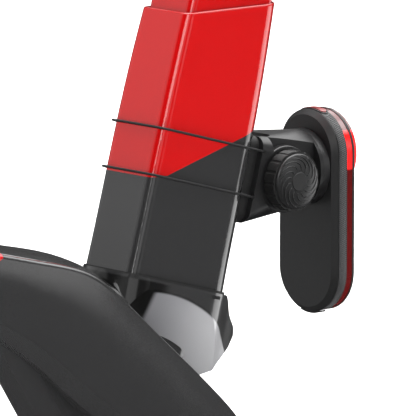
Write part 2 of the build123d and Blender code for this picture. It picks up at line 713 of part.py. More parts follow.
with BuildPart() as mount_bracket:
    with BuildSketch(behind_plane(PAD_REAR)):
        RectangleRounded(CRADLE_WIDTH, PAD_HIGH - PAD_LOW, 6)
    with BuildSketch(socket_plane(FLANGE_FRONT)):
        RectangleRounded(2 * FLANGE_RADIUS - 0.2, 2 * FLANGE_RADIUS - 0.2, FLANGE_RADIUS - 0.3)
    loft()
    with BuildSketch(socket_plane(FLANGE_FRONT)):
        Circle(FLANGE_RADIUS)
    extrude(amount=FLANGE_BACK - FLANGE_FRONT)
    # flat pocket for the dial on the left
    with BuildSketch(dial_plane(DIAL_WALL)):
        Circle(DIAL_POCKET)
        with Locations(((NECK_STEP + NECK_END) / 2 - DIAL_X, 0)):
            RectangleRounded(NECK_END - NECK_STEP, 70, 5)
    extrude(amount=20, mode=Mode.SUBTRACT)
    # cross hole, from the top to the bottom of the neck
    with BuildSketch(post_plane(100)):
        with Locations((NECK_HOLE, 0)):
            SlotOverall(NECK_HOLE_WIDTH, NECK_HOLE_DEPTH, rotation=90)
    extrude(amount=120, mode=Mode.SUBTRACT)
    with BuildSketch(socket_plane(SOCKET_FRONT)):
        Circle(SOCKET_RADIUS)
    extrude(amount=10, mode=Mode.SUBTRACT)
    add(socket_screws.part, mode=Mode.SUBTRACT)
    add(lace_guide.part, mode=Mode.SUBTRACT)
    add(lace_channel, mode=Mode.SUBTRACT)

# ---------------------------------------------------------------- dial that winds the lace
BASE_RADIUS = 16.0
CHAMBER_RADIUS = 9.6
CHAMBER_FLOOR = 13.6
PIN_RADIUS = 2.0
PIN_OUT = 22.0
RUNNING_GAP = 0.06
RATCHET_IN = 11.6
RATCHET_OUT = 12.8
RATCHET_HEIGHT = 1.2
RATCHET_TEETH = 30
TOOTH_DEPTH = 0.6
SPOOL_FLANGE = 9.2
HUB_RADIUS = 5.4
HUB_OUT = 18.4
KNOB_IN = 17.6
KNOB_RIM = 24.6
KNOB_CROWN = 27.0
CUP_RADIUS = 13.2
WEB_IN = 18.6
WEB_OUT = 19.4
CAP_RADIUS = 4.6
CAP_SEAT = 25.4

with BuildPart() as ratchet_ring:
    with BuildSketch(dial_plane(BASE_OUT)):
        Circle(RATCHET_OUT)
        Circle(RATCHET_IN, mode=Mode.SUBTRACT)
        with PolarLocations(RATCHET_IN + 0.2, RATCHET_TEETH):
            RegularPolygon(TOOTH_DEPTH, 3)
    extrude(amount=-RATCHET_HEIGHT)

with BuildPart() as dial_base:
    with BuildSketch(dial_plane(DIAL_WALL)):
        Circle(BASE_RADIUS)
    extrude(amount=BASE_OUT - DIAL_WALL)
    fillet(dial_base.faces().sort_by(Axis.Y)[0].edges(), 0.6)
    with BuildSketch(dial_plane(CHAMBER_FLOOR)):
        Circle(CHAMBER_RADIUS)
    extrude(amount=10, mode=Mode.SUBTRACT)
    with BuildSketch(dial_plane(BASE_OUT)):
        Circle(RATCHET_OUT)
    extrude(amount=-RATCHET_HEIGHT, mode=Mode.SUBTRACT)
    with BuildSketch(dial_plane(CHAMBER_FLOOR)):
        Circle(PIN_RADIUS)
    extrude(amount=PIN_OUT - CHAMBER_FLOOR)
    add(lace_channel, mode=Mode.SUBTRACT)

with BuildPart() as dial_spool:
    with BuildSketch(dial_plane(CHAMBER_FLOOR + 0.3)):
        Circle(SPOOL_FLANGE)
    extrude(amount=0.4)
    with BuildSketch(dial_plane(CHAMBER_FLOOR + 0.3)):
        Circle(SPOOL_GROOVE)
    extrude(amount=3.0)
    with BuildSketch(dial_plane(CHAMBER_FLOOR + 2.6)):
        Circle(SPOOL_FLANGE)
    extrude(amount=0.7)
    with BuildSketch(dial_plane(CHAMBER_FLOOR + 3.2)):
        RegularPolygon(HUB_RADIUS, 6)
    extrude(amount=HUB_OUT - CHAMBER_FLOOR - 3.2)
    with BuildSketch(dial_plane(CHAMBER_FLOOR)):
        Circle(PIN_RADIUS + RUNNING_GAP)
    extrude(amount=20, mode=Mode.SUBTRACT)

with BuildPart() as axle_screw:
    with BuildSketch(dial_plane(PIN_OUT)):
        Circle(3.2)
    extrude(amount=1.2)
    fillet(axle_screw.faces().sort_by(Axis.Y)[0].edges(), 0.4)
    with BuildSketch(dial_plane(PIN_OUT + 1.2)):
        RegularPolygon(1.0, 6)
    extrude(amount=-0.8, mode=Mode.SUBTRACT)

# The knob rides on the spool's hexagon; pulled out, it lets go of the hexagon and the ratchet.
with BuildPart() as dial_knob:
    with BuildSketch(Plane(origin=(DIAL_X, 0, DIAL_Z), x_dir=(1, 0, 0), z_dir=(0, 0, 1))):
        with BuildLine():
            Line((0, -KNOB_IN), (CUP_RADIUS, -KNOB_IN))
            Line((CUP_RADIUS, -KNOB_IN), (CUP_RADIUS, -KNOB_RIM))
            Spline(
                (CUP_RADIUS, -KNOB_RIM),
                (CUP_RADIUS - 1.6, -KNOB_RIM - 1.4),
                (0, -KNOB_CROWN),
                tangents=[(0, -1), (-1, 0)],
            )
            Line((0, -KNOB_CROWN), (0, -KNOB_IN))
        make_face()
    revolve(axis=Axis((DIAL_X, 0, DIAL_Z), (0, -1, 0)))
    with BuildSketch(dial_plane(KNOB_IN)):
        Circle(CUP_RADIUS - 1.6)
        Circle(7.8, mode=Mode.SUBTRACT)
    extrude(amount=5.2, mode=Mode.SUBTRACT)
    with BuildSketch(dial_plane(KNOB_IN)):
        RegularPolygon(HUB_RADIUS + 0.35, 6)
    extrude(amount=WEB_IN - KNOB_IN, mode=Mode.SUBTRACT)
    with BuildSketch(dial_plane(KNOB_IN)):
        Circle(PIN_RADIUS + 0.3)
    extrude(amount=6, mode=Mode.SUBTRACT)
    with BuildSketch(dial_plane(WEB_OUT)):
        Circle(3.8)
    extrude(amount=4.4, mode=Mode.SUBTRACT)
    with BuildSketch(dial_plane(CAP_SEAT)):
        Circle(CAP_RADIUS)
    extrude(amount=10, mode=Mode.SUBTRACT)

GRIP_FLUTES = 16
with BuildPart() as knob_grip:
    with BuildSketch(dial_plane(KNOB_IN + 0.2)):
        Circle(KNOB_RADIUS)
        Circle(CUP_RADIUS, mode=Mode.SUBTRACT)
        with PolarLocations(KNOB_RADIUS + 0.9, GRIP_FLUTES):
            Circle(1.3, mode=Mode.SUBTRACT)
    extrude(amount=KNOB_RIM - KNOB_IN - 0.4)

with BuildPart() as dial_cap:
    with BuildSketch(dial_plane(CAP_SEAT)):
        Circle(CAP_RADIUS)
    extrude(amount=KNOB_CROWN + 0.2 - CAP_SEAT)
    fillet(dial_cap.faces().sort_by(Axis.Y)[0].edges(), 0.5)

PAWLS = 3
with BuildPart() as pawl_disc:
    with BuildSketch(dial_plane(KNOB_IN)):
        Circle(10.8)
        Circle(6.3, mode=Mode.SUBTRACT)
    extrude(amount=-0.4)
    with BuildSketch(dial_plane(KNOB_IN)):
        with PolarLocations(10.2, PAWLS):
            Rectangle(1.0, 3.0)
    extrude(amount=-1.5)

# ---------------------------------------------------------------- rear light: housing
COVER_THICK = 2.6
COVER_BEVEL = 2.4
GASKET_THICK = 0.4
BAND_FRONT = LIGHT_X + COVER_THICK + GASKET_THICK
BAND_BACK = 131.8
GUIDE_BACK = 135.3
FRAME_BACK = 137.0
SHELL_WALL = 1.8
LIGHT_MIDDLE = LIGHT_TOP_CENTRE + LIGHT_WIDTH / 2 - LIGHT_HEIGHT / 2
LIGHT_LOW_CENTRE = LIGHT_MIDDLE - (LIGHT_HEIGHT - LIGHT_WIDTH) / 2
BOARD_FRONT = 130.6
BOARD_BACK = 131.8
BOARD_SCREWS = [(15.2, 150.4), (-15.2, 150.4), (9.6, 82.4), (-9.6, 82.4)]
PILLAR_RADIUS = 2.4


def light_outline(x, inset):
    """The light's rounded outline on a plane square to its thickness, drawn in by an inset."""
    with BuildSketch(rear_plane(x)) as outline:
        with Locations((0, LIGHT_MIDDLE)):
            SlotOverall(LIGHT_HEIGHT - 2 * inset, LIGHT_WIDTH - 2 * inset, rotation=90)
    return outline.sketch


with BuildPart() as back_cover:
    extrude(light_outline(LIGHT_X, 0), amount=COVER_THICK)
    chamfer(back_cover.faces().sort_by(Axis.X)[0].edges(), COVER_BEVEL)
    # boss and tabs of the twist mount
    with BuildSketch(socket_plane(TAB_FRONT)):
        Circle(BOSS_RADIUS)
    extrude(amount=LIGHT_X - TAB_FRONT + 0.5)
    with BuildSketch(socket_plane(TAB_FRONT)):
        Circle(TAB_RADIUS)
        Rectangle(2 * TAB_RADIUS, TAB_WIDTH, mode=Mode.INTERSECT)
    extrude(amount=TAB_BACK - TAB_FRONT)
    # pillars for the circuit board
    with BuildSketch(rear_plane(LIGHT_X + COVER_THICK)):
        with Locations(*BOARD_SCREWS):
            Circle(PILLAR_RADIUS)
    extrude(amount=BOARD_FRONT - LIGHT_X - COVER_THICK)

with BuildPart() as housing_gasket:
    extrude(light_outline(LIGHT_X + COVER_THICK, 0.3), amount=GASKET_THICK)
    extrude(light_outline(LIGHT_X + COVER_THICK, SHELL_WALL), amount=GASKET_THICK, mode=Mode.SUBTRACT)

BUTTON_X = 129.3
BUTTON_LENGTH = 15.0
BUTTON_WIDTH = 3.6
BUTTON_GAP = 0.3
BUTTON_RIM = 0.6
BUTTON_CROWN = 21.2  # radius of the button's top about the upper end's centre
BUTTON_FOOT = 166.6
RIM_CROWN = 20.9
PORT_X = 128.9
PORT_LENGTH = 9.0
PORT_WIDTH = 3.2
PORT_DEPTH = 7.0
LIGHT_FOOT = LIGHT_LOW_CENTRE - LIGHT_WIDTH / 2

with BuildPart() as housing_band:
    extrude(light_outline(BAND_FRONT, 0), amount=BAND_BACK - BAND_FRONT)
    extrude(light_outline(BAND_FRONT, SHELL_WALL), amount=BAND_BACK - BAND_FRONT, mode=Mode.SUBTRACT)
    with BuildSketch(Plane.XY.offset(LIGHT_TOP_CENTRE)):
        with Locations((BUTTON_X, 0)):
            SlotOverall(
                BUTTON_LENGTH + 2 * BUTTON_GAP, BUTTON_WIDTH + 2 * BUTTON_GAP, rotation=90
            )
    extrude(amount=40, mode=Mode.SUBTRACT)
    with BuildSketch(Plane.XY.offset(LIGHT_LOW_CENTRE)):
        with Locations((PORT_X, 0)):
            RectangleRounded(PORT_WIDTH, PORT_LENGTH, 1.4)
    extrude(amount=-40, mode=Mode.SUBTRACT)

with BuildPart() as side_light_guide:
    extrude(light_outline(BAND_BACK, 0.25), amount=GUIDE_BACK - BAND_BACK)
    extrude(light_outline(BAND_BACK, SHELL_WALL), amount=GUIDE_BACK - BAND_BACK, mode=Mode.SUBTRACT)

LENS_RADIUS = 16.4
LENS_CROWN = 139.9
LENS_SHELL = 1.5
LENS_FLANGE = 18.2
LENS_FLANGE_THICK = 1.0
BEZEL_RADIUS = 20.1
BEZEL_THICK = 2.0
TAIL_WIDTH = 25.0
TAIL_HEIGHT = 42.0
TAIL_MIDDLE = 103.0
with BuildPart() as rear_frame:
    extrude(light_outline(GUIDE_BACK, 0), amount=FRAME_BACK - GUIDE_BACK)
    fillet(rear_frame.faces().sort_by(Axis.X)[-1].edges(), 0.9)
    with BuildSketch(rear_plane(GUIDE_BACK)):
        with Locations((0, LIGHT_TOP_CENTRE)):
            Circle(LENS_RADIUS)
        with Locations((0, TAIL_MIDDLE)):
            RectangleRounded(TAIL_WIDTH, TAIL_HEIGHT, 11)
    extrude(amount=10, mode=Mode.SUBTRACT)

lens_profile = Plane(origin=(0, 0, LIGHT_TOP_CENTRE), x_dir=(1, 0, 0), z_dir=(0, -1, 0))
lens_axis = Axis((0, 0, LIGHT_TOP_CENTRE), (1, 0, 0))
with BuildPart() as main_lens:
    with BuildSketch(lens_profile):
        with BuildLine():
            Polyline(
                (GUIDE_BACK - LENS_FLANGE_THICK, 0),
                (GUIDE_BACK - LENS_FLANGE_THICK, LENS_FLANGE),
                (GUIDE_BACK, LENS_FLANGE),
                (GUIDE_BACK, LENS_RADIUS),
                (FRAME_BACK, LENS_RADIUS),
            )
            TangentArc((LENS_CROWN, 0), (FRAME_BACK, LENS_RADIUS), tangent=(0, 1))
            Line((LENS_CROWN, 0), (GUIDE_BACK - LENS_FLANGE_THICK, 0))
        make_face()
    revolve(axis=lens_axis)
    with BuildSketch(rear_plane(GUIDE_BACK - LENS_FLANGE_THICK)):
        with Locations((0, LIGHT_TOP_CENTRE)):
            Circle(LENS_RADIUS - LENS_SHELL)
    extrude(amount=1.8, mode=Mode.SUBTRACT)

with BuildPart() as lens_bezel:
    with BuildSketch(rear_plane(FRAME_BACK)):
        with Locations((0, LIGHT_TOP_CENTRE)):
            Circle(BEZEL_RADIUS)
            Circle(LENS_RADIUS + 0.1, mode=Mode.SUBTRACT)
    extrude(amount=BEZEL_THICK)
    fillet(lens_bezel.faces().sort_by(Axis.X)[-1].edges().sort_by(SortBy.LENGTH)[-1], 1.3)

with BuildPart() as tail_panel:
    with BuildSketch(rear_plane(GUIDE_BACK - LENS_FLANGE_THICK)):
        with Locations((0, TAIL_MIDDLE)):
            RectangleRounded(TAIL_WIDTH + 4, TAIL_HEIGHT + 4, 13)
    extrude(amount=LENS_FLANGE_THICK)
    with BuildSketch(rear_plane(GUIDE_BACK)):
        with Locations((0, TAIL_MIDDLE)):
            RectangleRounded(TAIL_WIDTH, TAIL_HEIGHT, 11)
    extrude(amount=FRAME_BACK - GUIDE_BACK + 0.4)
    fillet(tail_panel.faces().sort_by(Axis.X)[-1].edges(), 0.3)

# ---------------------------------------------------------------- rear light: inside
BOARD_GAP = 0.6
LED_TALL = 1.0
LED_MAIN = 5.0
LED_SMALL = 3.0
TAIL_LEDS = [-12.0, -4.0, 4.0, 12.0]
BATTERY_WIDTH = 24.0
BATTERY_HEIGHT = 52.0
BATTERY_THICK = 4.0

with BuildPart() as circuit_board:
    extrude(light_outline(BOARD_FRONT, SHELL_WALL + BOARD_GAP), amount=BOARD_BACK - BOARD_FRONT)
    with BuildSketch(rear_plane(BOARD_FRONT)):
        with Locations(*BOARD_SCREWS):
            Circle(1.0)
        with Locations((0, BUTTON_FOOT + 8)):
            Rectangle(BUTTON_LENGTH + 2, 18)
    extrude(amount=5, mode=Mode.SUBTRACT)

with BuildPart() as board_screws:
    with BuildSketch(rear_plane(BOARD_FRONT)):
        with Locations(*BOARD_SCREWS):
            Circle(1.0)
    extrude(amount=BOARD_BACK - BOARD_FRONT)
    with BuildSketch(rear_plane(BOARD_BACK)):
        with Locations(*BOARD_SCREWS):
            Circle(1.9)
    extrude(amount=1.0)

with BuildPart() as leds:
    with BuildSketch(rear_plane(BOARD_BACK)):
        with Locations((0, LIGHT_TOP_CENTRE)):
            Rectangle(LED_MAIN, LED_MAIN)
        with Locations(*[(0, TAIL_MIDDLE + rise) for rise in TAIL_LEDS]):
            Rectangle(LED_SMALL, LED_SMALL)
    extrude(amount=LED_TALL)

with BuildPart() as reflector:
    with BuildSketch(lens_profile):
        with BuildLine():
            Polyline(
                (BOARD_BACK + 0.1, 4.2),
                (BOARD_BACK + 2.2, 13.8),
                (BOARD_BACK + 1.4, 13.8),
                (BOARD_BACK + 0.1, 8.0),
                (BOARD_BACK + 0.1, 4.2),
            )
        make_face()
    revolve(axis=lens_axis)

with BuildPart() as battery:
    with BuildSketch(rear_plane(LIGHT_X + COVER_THICK)):
        with Locations((0, LIGHT_MIDDLE - 6)):
            RectangleRounded(BATTERY_WIDTH, BATTERY_HEIGHT, 2)
    extrude(amount=BATTERY_THICK)

with BuildPart() as usb_port:
    with BuildSketch(Plane.XY.offset(LIGHT_FOOT + 1.2)):
        with Locations((PORT_X, 0)):
            RectangleRounded(PORT_WIDTH - 0.1, PORT_LENGTH - 0.1, 1.3)
            RectangleRounded(PORT_WIDTH - 0.9, PORT_LENGTH - 0.9, 0.9, mode=Mode.SUBTRACT)
    extrude(amount=PORT_DEPTH)
    with BuildSketch(Plane.XY.offset(LIGHT_FOOT + 1.2 + PORT_DEPTH)):
        with Locations((PORT_X, 0)):
            RectangleRounded(PORT_WIDTH - 0.1, PORT_LENGTH - 0.1, 1.3)
    extrude(amount=1.0)

with BuildPart() as button_switch:
    with BuildSketch(rear_plane(BOARD_FRONT)):
        with Locations((0, BUTTON_FOOT - 3.4)):
            Rectangle(6, 4)
    extrude(amount=-2.8)


def round_top(radius):
    """A round bar along the light's thickness that trims what stands at its upper end."""
    with BuildPart() as bar:
        with BuildSketch(rear_plane(LIGHT_X)):
            with Locations((0, LIGHT_TOP_CENTRE)):
                Circle(radius)
        extrude(amount=12)
    return bar.part


with BuildPart() as button_rim:
    with BuildSketch(Plane.XY.offset(LIGHT_TOP_CENTRE + 12)):
        with Locations((BUTTON_X, 0)):
            SlotOverall(
                BUTTON_LENGTH + 2 * (BUTTON_GAP + BUTTON_RIM),
                BUTTON_WIDTH + 2 * (BUTTON_GAP + BUTTON_RIM),
                rotation=90,
            )
            SlotOverall(
                BUTTON_LENGTH + 2 * BUTTON_GAP, BUTTON_WIDTH + 2 * BUTTON_GAP, rotation=90,
                mode=Mode.SUBTRACT,
            )
    extrude(amount=14)
    add(round_top(RIM_CROWN), mode=Mode.INTERSECT)
    add(round_top(LIGHT_WIDTH / 2), mode=Mode.SUBTRACT)

with BuildPart() as power_button:
    with BuildSketch(Plane.XY.offset(BUTTON_FOOT)):
        with Locations((BUTTON_X, 0)):
            SlotOverall(BUTTON_LENGTH, BUTTON_WIDTH, rotation=90)
    extrude(amount=14)
    add(round_top(BUTTON_CROWN), mode=Mode.INTERSECT)

# The port's flap lies against the lower end and hinges at its right edge.
FLAP_HALF = 6.4
FLAP_WIDTH = 4.4
FLAP_THICK = 0.8
FLAP_GAP = 0.15
PLUG_LENGTH = 5.6
PLUG_WIDTH = 1.4
PLUG_DEPTH = 1.2

with BuildPart() as port_cover:
    flap_radius = LIGHT_WIDTH / 2 + FLAP_GAP
    with BuildSketch(rear_plane(PORT_X - FLAP_WIDTH / 2)):
        with Locations((0, LIGHT_LOW_CENTRE)):
            Circle(flap_radius + FLAP_THICK)
            Circle(flap_radius, mode=Mode.SUBTRACT)
        with Locations((0, LIGHT_LOW_CENTRE - flap_radius)):
            Rectangle(2 * FLAP_HALF, 8, mode=Mode.INTERSECT)
    extrude(amount=FLAP_WIDTH)
    with BuildSketch(Plane.XY.offset(LIGHT_FOOT + PLUG_DEPTH)):
        with Locations((PORT_X, 0)):
            RectangleRounded(PLUG_WIDTH, PLUG_LENGTH, 0.6)
    extrude(amount=-PLUG_DEPTH - 0.6)

# ---------------------------------------------------------------- names and files
PIECES = {
    "frame_yoke": frame_yoke,
    "seat_tube": seat_tube,
    "nacelle": nacelle,
    "mast_seal": mast_seal,
    "seat_mast": seat_mast,
    "seat_post": seat_post,
    "post_head": post_head,
    "wedge_lower": wedge_lower,
    "wedge_upper": wedge_upper,
    "wedge_bolt": wedge_bolt,
    "tilt_barrel": tilt_barrel,
    "rail_cradles": rail_cradles,
    "rail_clamps": rail_clamps,
    "clamp_bolt": clamp_bolt,
    "clamp_nut": clamp_nut,
    "mount_pad": mount_pad,
    "mount_bracket": mount_bracket,
    "twist_socket": twist_socket,
    "socket_screws": socket_screws,
    "lace": lace,
    "lace_guide": lace_guide,
    "dial_base": dial_base,
    "ratchet_ring": ratchet_ring,
    "axle_screw": axle_screw,
    "dial_spool": dial_spool,
    "dial_knob": dial_knob,
    "knob_grip": knob_grip,
    "dial_cap": dial_cap,
    "pawl_disc": pawl_disc,
    "back_cover": back_cover,
    "housing_gasket": housing_gasket,
    "housing_band": housing_band,
    "side_light_guide": side_light_guide,
    "rear_frame": rear_frame,
    "main_lens": main_lens,
    "lens_bezel": lens_bezel,
    "tail_panel": tail_panel,
    "reflector": reflector,
    "circuit_board": circuit_board,
    "board_screws": board_screws,
    "leds": leds,
    "battery": battery,
    "usb_port": usb_port,
    "button_switch": button_switch,
    "button_rim": button_rim,
    "power_button": power_button,
    "port_cover": port_cover,
}
for name, piece in PIECES.items():
    piece.part.label = name
    export_step(piece.part, f"parts/{name}.step")
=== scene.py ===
from math import cos, pi, radians, sin, tan

import bmesh
import bpy
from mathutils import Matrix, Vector


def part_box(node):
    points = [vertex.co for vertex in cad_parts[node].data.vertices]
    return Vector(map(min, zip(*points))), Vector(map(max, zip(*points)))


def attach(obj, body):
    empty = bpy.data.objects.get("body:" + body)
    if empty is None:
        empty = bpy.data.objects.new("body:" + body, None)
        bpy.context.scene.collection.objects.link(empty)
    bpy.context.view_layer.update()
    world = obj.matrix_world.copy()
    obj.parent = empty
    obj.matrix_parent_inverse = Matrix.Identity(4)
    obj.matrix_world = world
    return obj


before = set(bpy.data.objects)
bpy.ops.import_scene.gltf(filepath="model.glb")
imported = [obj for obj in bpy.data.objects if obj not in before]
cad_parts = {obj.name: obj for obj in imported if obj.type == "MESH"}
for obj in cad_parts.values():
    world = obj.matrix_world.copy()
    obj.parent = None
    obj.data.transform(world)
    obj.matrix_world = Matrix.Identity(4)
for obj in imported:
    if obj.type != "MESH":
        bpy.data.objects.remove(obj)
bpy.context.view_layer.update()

# ---------------------------------------------------------------- camera
# A long lens from the front left, a little above the seat cluster. It takes in the mast from its
# foot to the seat post, the moulding round it, and the light behind.
CAMERA_AZIMUTH = radians(-41.5)
CAMERA_ELEVATION = radians(9.4)
CAMERA_DISTANCE = 3.0
CAMERA_TARGET = Vector((0.0617, 0, 0.13015))
FRAME_WIDTH = 0.1956  # what the view takes in at the target
SENSOR = 36.0
FAR_END = 100
camera_back = Vector((
    sin(CAMERA_AZIMUTH) * cos(CAMERA_ELEVATION),
    -cos(CAMERA_AZIMUTH) * cos(CAMERA_ELEVATION),
    sin(CAMERA_ELEVATION),
))
camera = bpy.data.objects.new("camera", bpy.data.cameras.new("camera"))
bpy.context.collection.objects.link(camera)
camera.data.sensor_width = SENSOR
camera.data.lens = SENSOR * CAMERA_DISTANCE / FRAME_WIDTH
camera.data.clip_end = FAR_END
camera.location = CAMERA_TARGET + camera_back * CAMERA_DISTANCE
camera.rotation_euler = camera_back.to_track_quat("Z", "Y").to_euler()
bpy.context.scene.camera = camera

# ---------------------------------------------------------------- studio floor
# A wide matt floor in pale paint. It shows in the view but not in the object's gloss, so the
# lacquer reflects the sky alone.
FLOOR_HALF = 12.0
FLOOR_COLOUR = (0.93, 0.93, 0.93, 1)
FLOOR_ROUGHNESS = 0.9
bpy.context.scene.view_settings.view_transform = "Standard"
bpy.ops.mesh.primitive_plane_add(size=2 * FLOOR_HALF, location=(0, 0, 0))
floor = bpy.context.object
floor.name = "floor"
floor.visible_glossy = False
floor_paint = bpy.data.materials.new("floor_paint")
floor_paint.use_nodes = True
floor_shader = floor_paint.node_tree.nodes["Principled BSDF"]
floor_shader.inputs["Base Color"].default_value = FLOOR_COLOUR
floor_shader.inputs["Roughness"].default_value = FLOOR_ROUGHNESS
floor_shader.inputs["Specular IOR Level"].default_value = 0.0
floor.data.materials.append(floor_paint)


# ---------------------------------------------------------------- studio sky
# A dark room with soft-edged bright patches, which the lacquer reflects as its highlights.
class Socket:
    """An output of a node. Arithmetic on it adds Math nodes; any other node comes from node()."""

    def __init__(self, tree, output=None):
        self.tree = tree
        self.output = output

    def node(self, kind, settings=None, inputs=None, output=0):
        """A new node of that kind in the same tree, with its settings and inputs, as its output."""
        made = self.tree.nodes.new(kind)
        for name, value in (settings or {}).items():
            setattr(made, name, value)
        for name, value in (inputs or {}).items():
            if isinstance(value, Socket):
                self.tree.links.new(value.output, made.inputs[name])
            else:
                made.inputs[name].default_value = value
        return Socket(self.tree, made.outputs[output])

    def __add__(self, other):
        return self.node("ShaderNodeMath", {"operation": "ADD"}, {0: self, 1: other})

    __radd__ = __add__

    def __sub__(self, other):
        return self.node("ShaderNodeMath", {"operation": "SUBTRACT"}, {0: self, 1: other})

    def __rsub__(self, other):
        return self.node("ShaderNodeMath", {"operation": "SUBTRACT"}, {0: other, 1: self})

    def __mul__(self, other):
        return self.node("ShaderNodeMath", {"operation": "MULTIPLY"}, {0: self, 1: other})

    __rmul__ = __mul__


def climb_between(value, low, high):
    """0 below the low value and 1 above the high one, with a smooth climb between them."""
    return value.node(
        "ShaderNodeMapRange",
        {"interpolation_type": "SMOOTHSTEP"},
        {"Value": value, "From Min": low, "From Max": high},
    )


def feed(shader, name, source):
    """Links a source to one of a shader's inputs."""
    source.tree.links.new(source.output, shader.inputs[name])


SKY_DARK = 0.05
SKY_PATCHES = [  # direction, cosines at its edge and core, brightness
    ((-0.64, 0.74, 0.20), 0.72, 0.98, 0.75),
    ((-0.33, -0.95, 0.09), 0.960, 0.985, 1.0),
    ((0.92, -0.28, -0.23), 0.945, 0.98, 2.6),
    ((0.50, 0.10, 0.86), 0.70, 0.92, 3.0),
    ((-0.45, 0.30, 0.84), 0.85, 0.97, 1.6),
    ((0.44, -0.86, 0.24), 0.925, 0.99, 1.5),
    ((0.58, -0.30, 0.75), 0.93, 0.985, 2.5),
]
sky = bpy.data.worlds.new("studio")
sky.use_nodes = True
bpy.context.scene.world = sky
sky_background = sky.node_tree.nodes["Background"]
sky_background.inputs["Color"].default_value = (1, 1, 1, 1)
sky_way = Socket(sky.node_tree).node("ShaderNodeTexCoord", output="Generated")
brightness = SKY_DARK
for direction, edge, core, strength in SKY_PATCHES:
    towards = sky_way.node(
        "ShaderNodeVectorMath",
        {"operation": "DOT_PRODUCT"},
        {0: sky_way, 1: Vector(direction).normalized()},
        "Value",
    )
    brightness = climb_between(towards, edge, core) * strength + brightness
feed(sky_background, "Strength", brightness)

# ---------------------------------------------------------------- studio lamps
# A wide soft sun overhead with no highlight of its own, and square soft boxes at the front left,
# behind on the right, and above.
SUN_POWER = 1.3
SUN_SPREAD = radians(40)
SOFT_BOXES = [  # place, side and power
    ((-1.5, -1.9, 1.3), 1.2, 24.0),
    ((0.9, 1.2, 2.2), 1.6, 24.0),
    ((0.2, -0.4, 2.6), 2.2, 40.0),
]
sun = bpy.data.objects.new("sky_light", bpy.data.lights.new("sky_light", "SUN"))
bpy.context.collection.objects.link(sun)
sun.data.energy = SUN_POWER
sun.data.angle = SUN_SPREAD
sun.data.specular_factor = 0.0
for number, (spot, side, power) in enumerate(SOFT_BOXES):
    lamp = bpy.data.objects.new(f"soft_box_{number}", bpy.data.lights.new("soft_box", "AREA"))
    bpy.context.collection.objects.link(lamp)
    lamp.data.shape = "SQUARE"
    lamp.data.size = side
    lamp.data.energy = power
    lamp.location = spot
    lamp.rotation_euler = (Vector(spot) - CAMERA_TARGET).to_track_quat("Z", "Y").to_euler()

# ---------------------------------------------------------------- frame moulding and seat tube
# Carbon fibre laid up in a mould and painted glossy dark grey under clear lacquer. A red flash
# runs back along the top tube and ends in a point on its upper edge.
MM = 0.001
GREY_PAINT = (0.019, 0.019, 0.0195, 1)
GREY_FLAKE = (0.027, 0.027, 0.0275, 1)
RED_PAINT = (0.44, 0.0015, 0.002, 1)
RED_DEEP = (0.37, 0.001, 0.0015, 1)
FLAKE_SIZE = 0.35 * MM
RED_FLAKE_SIZE = 0.6 * MM
GLOSS_PATCH = 4 * MM
GLOSS_LEAST = 0.22
GLOSS_SPREAD = 0.05
PEEL_SIZE = 2.5 * MM
PEEL_DEPTH = 0.006 * MM
FLASH_END = -83.5 * MM
FLASH_HIGH = 126.2 * MM
FLASH_SLOPE = 0.54
FLASH_EDGE = 0.6 * MM
FLASH_TIP = 0.8 * MM


def new_finish(name, roughness, metallic=0.0, coat=0.0, coat_roughness=0.03, specular=0.5):
    """A material, its shader node, and the place on the object in the row frame, in metres."""
    material = bpy.data.materials.new(name)
    material.use_nodes = True
    shader = material.node_tree.nodes["Principled BSDF"]
    shader.inputs["Roughness"].default_value = roughness
    shader.inputs["Metallic"].default_value = metallic
    shader.inputs["Coat Weight"].default_value = coat
    shader.inputs["Coat Roughness"].default_value = coat_roughness
    shader.inputs["Specular IOR Level"].default_value = specular
    place = Socket(material.node_tree).node("ShaderNodeTexCoord", output="Object")
    return material, shader, place


def along_axis(place, name):
    """How far a place is along X, Y or Z."""
    return place.node("ShaderNodeSeparateXYZ", None, {"Vector": place}, name)


def over(value, edge, soft):
    """0 below the edge and 1 above it, with a soft change of that width."""
    return climb_between(value, edge - soft / 2, edge + soft / 2)


def noise(place, size, detail=2.0):
    """Grain of that size in metres."""
    return place.node(
        "ShaderNodeTexNoise", None, {"Vector": place, "Scale": 1 / size, "Detail": detail}
    )


def blend_colours(mask, low, high):
    """The low colour where the mask is 0 and the high one where it is 1."""
    return mask.node("ShaderNodeMix", {"data_type": "RGBA"}, {"Factor": mask, 6: low, 7: high}, 2)


def mottle(shader, place, low, high, size, detail=2.0):
    """Base colour that drifts between two tones."""
    feed(shader, "Base Color", blend_colours(noise(place, size, detail), low, high))


def vary_gloss(shader, place, least, spread, size, detail=2.0):
    """Roughness that drifts upwards from its least value."""
    feed(shader, "Roughness", noise(place, size, detail) * spread + least)


def raise_bumps(shader, height, depth):
    """Bumps of that depth in metres."""
    feed(shader, "Normal", height.node(
        "ShaderNodeBump", None, {"Height": height, "Distance": depth, "Strength": 1.0}
    ))


def raise_grain(shader, place, depth, size, detail=2.0):
    """Fine grain of that depth and size in metres."""
    raise_bumps(shader, noise(place, size, detail), depth)


def grey_lacquer(place):
    """The dark grey paint's colour, with its fine flake."""
    return blend_colours(noise(place, FLAKE_SIZE), GREY_PAINT, GREY_FLAKE)


def red_lacquer(place):
    """The red paint's colour, a little deeper in patches."""
    return blend_colours(noise(place, RED_FLAKE_SIZE), RED_DEEP, RED_PAINT)


def coat_nodes(material, *names):
    """Gives CAD nodes their finish."""
    for name in names:
        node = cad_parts[name]
        if not node.material_slots:
            node.data.materials.append(None)
        for slot in node.material_slots:
            slot.material = material


frame_paint, frame_shader, place = new_finish(
    "frame_paint", 0.3, coat=1.0, coat_roughness=0.02, specular=0.2
)
back = along_axis(place, "X")
